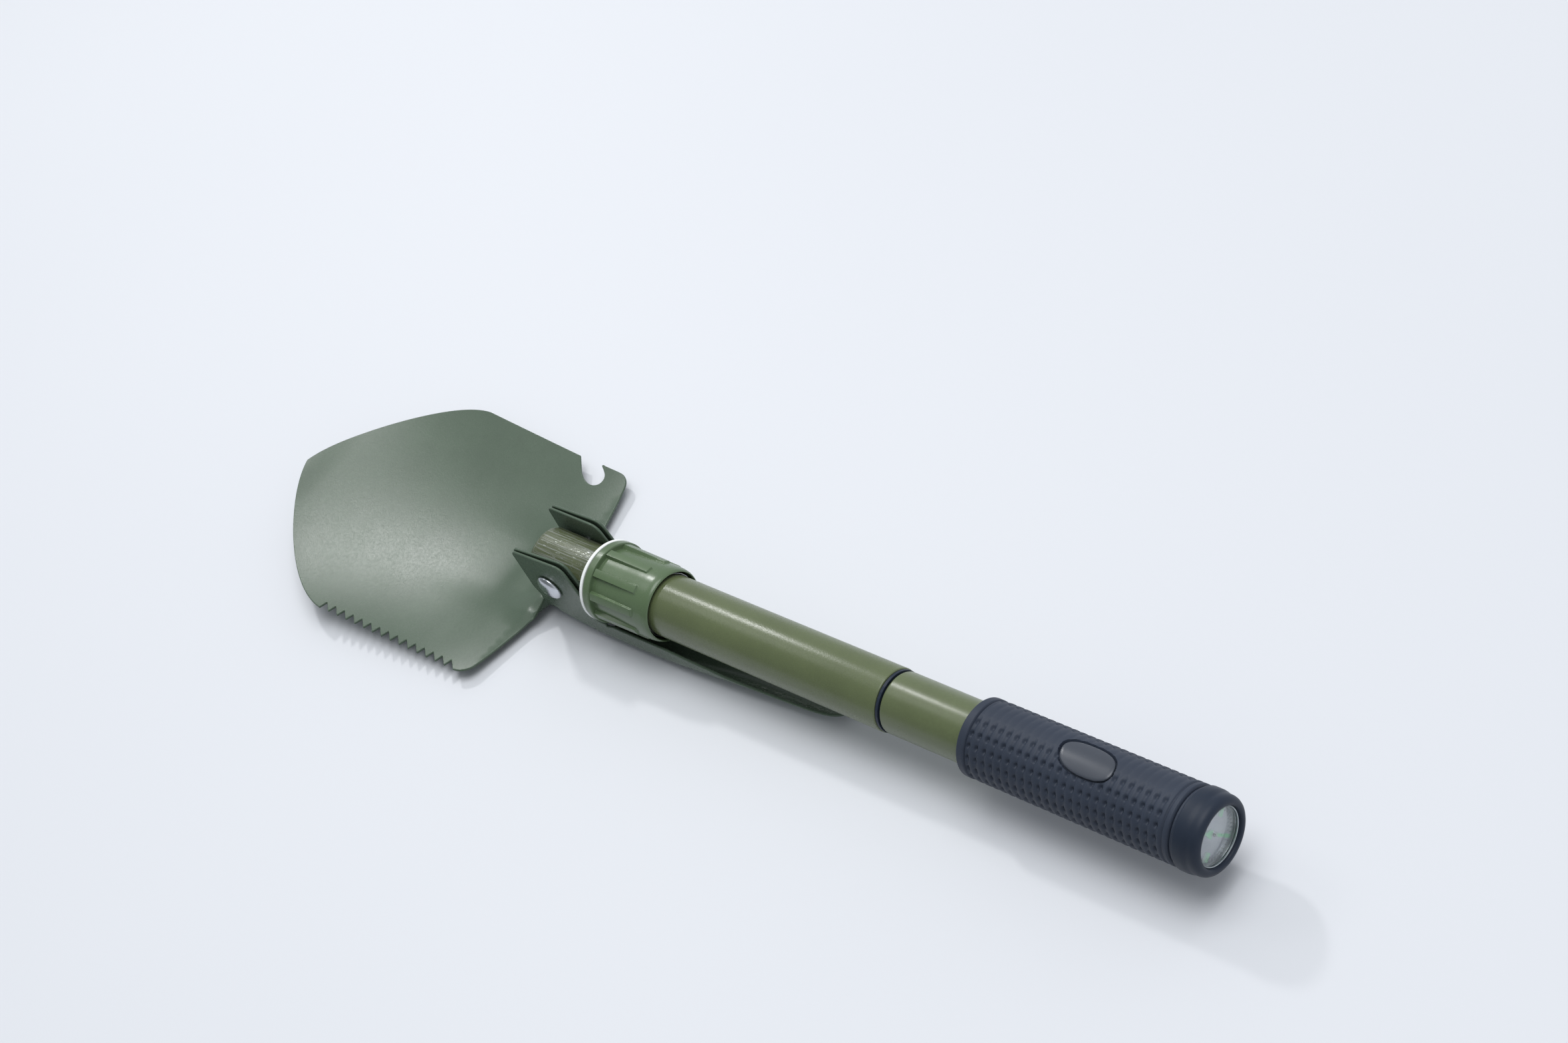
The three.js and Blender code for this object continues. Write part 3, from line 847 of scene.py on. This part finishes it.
def badge_rho(x, arc, grow):
    """Below 1 inside the badge's oval, made larger all round by grow."""
    u = (x - BADGE_X - SLANT * arc) / (BADGE_LONG + grow)
    v = arc / (BADGE_WIDE + grow)
    return (np.abs(u) ** OVAL + np.abs(v) ** OVAL) ** (1 / OVAL)


def grip_radius(x, th):
    """Rounded ribs with rows of pits in the grooves, calmer on the upper far side, a ring at each
    end, and a pocket for the badge."""
    base = np.full_like(x, GRIP_R)
    pitch, first = 3.12, 173.35
    ph = (x - first) / pitch
    near = np.abs(ph - np.round(ph)) * pitch
    field = smooth(172.2, 173.0, x) * (1 - smooth(246.6, 247.4, x))
    deg = np.degrees(th)
    rows = (deg - ROW_FIRST) / ROW_TURN
    dth = np.abs(rows - np.round(rows)) * math.radians(ROW_TURN) * GRIP_R
    calm = smooth(34, 48, deg) * (1 - smooth(84, 96, deg))
    groove = 0.5 * (0.5 + 0.5 * np.cos(2 * math.pi * ph)) ** 1.7
    first_row = smooth(88, 94, deg) * (1 - smooth(102, 108, deg))
    pit = (0.8 - 0.35 * first_row) * np.exp(-((near / 0.72) ** 2 + (dth / 0.86) ** 2) ** 1.3)
    r = base - field * (groove * (1 - 0.8 * calm) + pit * (1 - 0.95 * calm))
    ring = 0.8 * np.exp(-((x - 172.1) / 0.32) ** 2) + 0.6 * np.exp(-((x - 247.6) / 0.35) ** 2)
    r = r - ring
    r = r - 0.9 * (1 - smooth(GRIP_FRONT, GRIP_FRONT + 1, x)) ** 2
    r = r - 0.7 * smooth(249.2, GRIP_BACK, x) ** 2
    arc = (np.mod(deg - BADGE_TH + 180, 360) - 180) * math.radians(1) * GRIP_R
    rho = badge_rho(x, arc, 0.55)
    return np.where(rho < 1.0, 11.9, r)


def make_grip():
    xs = np.concatenate([np.linspace(GRIP_FRONT, 169.6, 7), np.linspace(170, 171.2, 3),
                         np.arange(171.4, 248.2, 0.24), np.linspace(248.4, GRIP_BACK, 8)])
    return polar("grip_sleeve", xs, 480, grip_radius,
                 [(GRIP_BACK, GRIP_BORE), (GRIP_FRONT, GRIP_BORE)], rubber_mat, 60)


grip = make_grip()
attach(grip, "rear_section")
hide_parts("grip")


def make_badge():
    """A blank oval plate, from rings that grow from its middle and then go down its side."""
    rings, seg = 14, 120
    verts, faces = [], []
    ph = np.linspace(0, 2 * math.pi, seg, endpoint=False)

    def ring(rho, r):
        c, s = np.cos(ph), np.sin(ph)
        k = (np.abs(c) ** OVAL + np.abs(s) ** OVAL) ** (-1 / OVAL)
        arc = BADGE_WIDE * rho * k * s
        x = BADGE_X + BADGE_LONG * rho * k * c + SLANT * arc
        t = math.radians(BADGE_TH) + arc / GRIP_R
        return np.stack([x, r * np.cos(t), r * np.sin(t)], 1)
    levels = [(rho, 13.05 - 0.1 * rho ** 2) for rho in np.linspace(0.0, 0.93, rings)]
    levels += [(0.97, 12.88), (0.99, 12.78), (1.0, 12.6), (1.0, 11.95), (0.0, 11.95)]
    for rho, r in levels:
        verts.append(ring(max(rho, 1e-4), r))
    n = len(levels)
    for i in range(n - 1):
        for k in range(seg):
            m = (k + 1) % seg
            faces.append((i * seg + k, i * seg + m, (i + 1) * seg + m, (i + 1) * seg + k))
    faces.append(tuple(range(seg)))
    faces.append(tuple(range((n - 1) * seg, n * seg)))
    return new_mesh("badge_plate", place(np.concatenate(verts)), faces, badge_mat, 45)


badge = make_badge()
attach(badge, "rear_section")
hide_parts("grip_badge")

# ---------------------------------------------------------------- compass cap

cap = lathe("cap_body", [
    (241, 0.0), (241, 6.6), (251.4, 6.6), *round_edge(251.4, 13.5, 0.7, -0.7, 5),
    (254.6, 13.5), (255.5, 13.38), (256.2, 13.12), (256.8, 13.0), (257.4, 13.02), (258.2, 13.0),
    (259.0, 12.8), (259.7, 12.4), (260.2, 11.8), (260.45, 11.1), (260.4, 10.5), (260.1, 10.1),
    (259.6, 9.95), (259.0, 10.0), (258.9, 10.8), (254.4, 10.8), (254.4, 0.0)], cap_mat, 160, 50)
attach(cap, "cap")
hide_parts("cap_housing")

dial_m = Nodes("dial_print")
mottle = dial_m.noise(260, 4.0, 0.6)
cloud = dial_m.noise(90, 3.0, 0.5)
dial_col = dial_m.mix(dial_m.span(cloud, 0, 1, 0.35, 0.65), srgb(150, 158, 166), srgb(178, 186, 190))
dial_m.set(Base_Color=dial_col, Roughness=dial_m.span(mottle, 0.3, 0.5), Metallic=0.35,
           Normal=dial_m.bump(mottle, 0.00001))
lum_m = Nodes("luminous_mark")
dust = lum_m.noise(700, 3.0, 0.6)
lum_m.set(Base_Color=lum_m.mix(dust, srgb(96, 200, 130), srgb(150, 226, 170)), Roughness=0.5)

FACE, MARK_TOP = 256.7, 256.95    # x of the dial's face, and of the tops of the marks on it


def make_dial():
    """A disc with plain ticks all round, four green marks, an arrow and its tail."""
    disc = lathe("dial_disc", [(256.2, 0.75), (256.2, 8.9), (256.3, 9.0), (256.6, 9.0), (FACE, 8.9),
                               (FACE, 0.75), (256.2, 0.75)], dial_m.mat, 96)
    parts = [disc]

    def bar(name, ang, r0, r1, w0, w1, mat):
        a = math.radians(ang)
        c, s = math.cos(a), math.sin(a)
        quad = [(r0, -w0), (r1, -w1), (r1, w1), (r0, w0)]
        v = [(FACE, q * c - w * s, q * s + w * c) for q, w in quad]
        v += [(MARK_TOP, y, z) for _, y, z in v]
        f = [(0, 1, 2, 3), (7, 6, 5, 4), (0, 4, 5, 1), (1, 5, 6, 2), (2, 6, 7, 3), (3, 7, 4, 0)]
        parts.append(new_mesh(name, place(v), f, mat, 30))
    for i in range(36):
        long = i % 9 == 0
        width = 0.6 if long else 0.1
        bar(f"tick_{i:02d}", i * 10 + 35, 5.6 if long else 7.6, 8.4, width, width,
            lum_m.mat if long else cap_mat)
    bar("arrow", 125, 1.6, 5.2, 1.5, 0.05, lum_m.mat)
    bar("bar", 305, 1.6, 4.6, 0.5, 0.5, lum_m.mat)
    return join(parts, "compass_dial_face")


dial = make_dial()
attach(dial, "compass")
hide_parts("compass_dial")

case = lathe("compass_case_cup", [
    (254.7, 0.0), (254.7, 10.2), (254.9, 10.4), (258.4, 10.4), (258.5, 10.2), (258.4, 9.55),
    (255.8, 9.5), (255.5, 9.2), (255.5, 0.0)], silver_mat, 128)
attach(case, "cap")
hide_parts("compass_case")

glass_m = Nodes("compass_glass")
glass_n = glass_m.noise(300, 2.0, 0.5)
glass_m.set(Base_Color=(0.93, 0.96, 0.97), Roughness=glass_m.span(glass_n, 0.02, 0.07), IOR=1.49)
glass_m.b.inputs["Transmission Weight"].default_value = 0.92
glass_m.b.inputs["Alpha"].default_value = 0.55

lens = lathe("compass_lens_disc", [
    (257.4, 0.0), (257.4, 9.3), (257.5, 9.4), (258.2, 9.4), (258.35, 9.2), (258.5, 7.5),
    (258.6, 5.0), (258.65, 2.0), (258.65, 0.0)], glass_m.mat, 128)
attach(lens, "cap")
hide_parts("compass_lens")

bezel = lathe("compass_bezel_ring", [
    (258.55, 9.6), (258.55, 9.9), (258.9, 9.95), (259.15, 9.85), (259.2, 9.7), (259.1, 9.55),
    (258.8, 9.5), (258.55, 9.6)], silver_mat, 128)
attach(bezel, "cap")
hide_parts("compass_bezel")

# Pieces that keep their CAD shape
for node, mat in (("collar_thread", steel_mat), ("joint_socket", steel_mat), ("joint_washer", cap_mat),
                  ("joint_screw", cap_mat), ("joint_plug", cap_mat), ("end_bush", steel_mat),
                  ("cap_seal", rubber_mat), ("compass_pivot", steel_mat)):
    ob = NODES[node]
    ob.data.materials.clear()
    ob.data.materials.append(mat)

# ---------------------------------------------------------------- floor, lights, camera

FLOOR_GAP = 0.0003    # the floor is this far below the part, m

floor_m = Nodes("pale_floor")
wash = floor_m.noise(1.6, 2.0, 0.5)
floor_m.set(Base_Color=floor_m.mix(wash, srgb(210, 212, 217), srgb(216, 218, 222)), Roughness=0.55)
bpy.ops.mesh.primitive_plane_add(size=8, location=(0, 0, -FLOOR_GAP))
floor = bpy.context.object
floor.name = "floor"
floor.data.materials.append(floor_m.mat)

# A pale room that is darker toward the front left
DARK_SIDE = (-0.35, -0.89, 0.3)
world = bpy.data.worlds.new("studio")
world.use_nodes = True
wt = world.node_tree
sky = wt.nodes.new("ShaderNodeTexCoord")
toward = wt.nodes.new("ShaderNodeVectorMath")
toward.operation = "DOT_PRODUCT"
toward.inputs[1].default_value = DARK_SIDE
wt.links.new(sky.outputs["Generated"], toward.inputs[0])
dim = wt.nodes.new("ShaderNodeValToRGB")
dim.color_ramp.interpolation = "EASE"
light_end, dark_end = dim.color_ramp.elements
light_end.position, light_end.color = 0.15, (0.93, 0.97, 1.03, 1)
dark_end.position, dark_end.color = 0.95, (0.36, 0.39, 0.4, 1)
wt.links.new(toward.outputs["Value"], dim.inputs["Fac"])
wt.links.new(dim.outputs["Color"], wt.nodes["Background"].inputs["Color"])
wt.nodes["Background"].inputs["Strength"].default_value = 0.6
bpy.context.scene.world = world

MIDDLE = Vector((0.0, 0.0, AXIS_Z))


def softbox(name, direction, distance, size, power, colour=(1, 1, 1)):
    """A rectangular light that faces the part, from a direction and a distance in metres."""
    d = Vector(direction).normalized()
    light = bpy.data.lights.new(name, "AREA")
    light.shape = "RECTANGLE"
    light.size, light.size_y = size
    light.energy = power
    light.color = colour
    ob = bpy.data.objects.new(name, light)
    ob.location = MIDDLE + d * distance
    ob.rotation_euler = (-d).to_track_quat("-Z", "Y").to_euler()
    bpy.context.scene.collection.objects.link(ob)


softbox("key", (0.15, 0.12, 0.97), 2.2, (1.6, 1.6), 34, (0.98, 0.99, 1.0))
softbox("lamp", (-0.62, 0.335, 0.705), 1.3, (0.1, 0.1), 3.2)
softbox("glow", (-0.62, -0.05, 0.78), 1.6, (0.5, 0.4), 1.2)

# The camera's axes in the model's frame
RIGHT = Vector((0.7172636, 0.5958388, -0.3612604))
DOWN = Vector((0.2914583, -0.7274680, -0.6211621))
VIEW = Vector((-0.6329179, 0.3402446, -0.6954485))
cam_data = bpy.data.cameras.new("camera")
cam = bpy.data.objects.new("camera", cam_data)
bpy.context.scene.collection.objects.link(cam)
rot = Matrix((RIGHT, -DOWN, -VIEW)).transposed()
cam.matrix_world = Matrix.Translation(at(695.640, -328.466, 710.127)) @ rot.to_4x4()
cam_data.sensor_width = 36
cam_data.lens = 69.069
cam_data.shift_x = 0.0254
cam_data.shift_y = 0.0380
cam_data.clip_start = 0.01
cam_data.clip_end = 50
bpy.context.scene.camera = cam
bpy.context.scene.view_settings.view_transform = "Standard"
